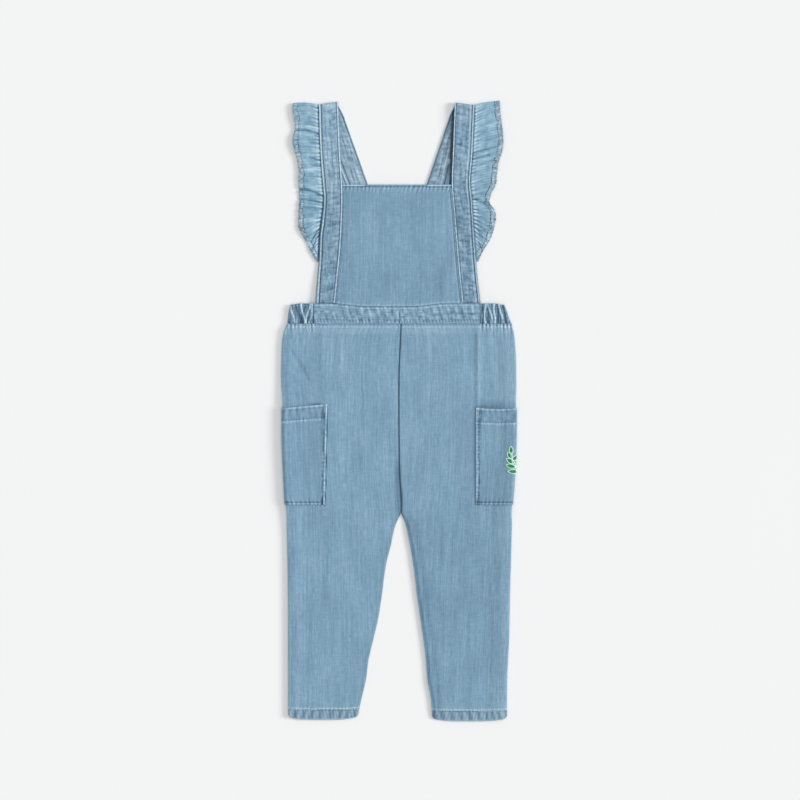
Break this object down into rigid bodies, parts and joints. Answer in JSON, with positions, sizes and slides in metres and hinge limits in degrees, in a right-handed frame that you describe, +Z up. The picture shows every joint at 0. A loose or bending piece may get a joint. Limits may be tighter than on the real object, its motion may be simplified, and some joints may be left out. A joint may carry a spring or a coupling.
{
  "type": "kids dungarees",
  "caption": "Toddler's denim dungarees laid flat: bib, ruffled shoulder straps, elastic-sided waist, tapered legs and side patch pockets.",
  "frame": {"origin": "centre of the bounding box's underside, on the surface the garment lies on", "axes": "+Z up out of the front of the garment, +Y from the hems to the shoulders, +X to the wearer's left, which is the right as seen"},
  "size_m": [0.2833, 0.7446, 0.0091],
  "materials": {
    "denim": "washed twill, matt",
    "thread": "matt sewing thread",
    "embroidery_green": "satin stitch",
    "embroidery_mint": "satin stitch"
  },
  "bodies": {
    "root": {"front_leg_left": "denim", "front_leg_right": "denim", "back_leg_left": "denim", "back_leg_right": "denim", "pocket_left": "denim", "pocket_right": "denim", "bib": "denim", "waistband_front": "denim", "waistband_back": "denim", "waistband_side_left": "denim", "waistband_side_right": "denim", "strap_left": "denim", "strap_right": "denim", "ruffle_left": "denim", "ruffle_right": "denim"}
  },
  "joints": []
}
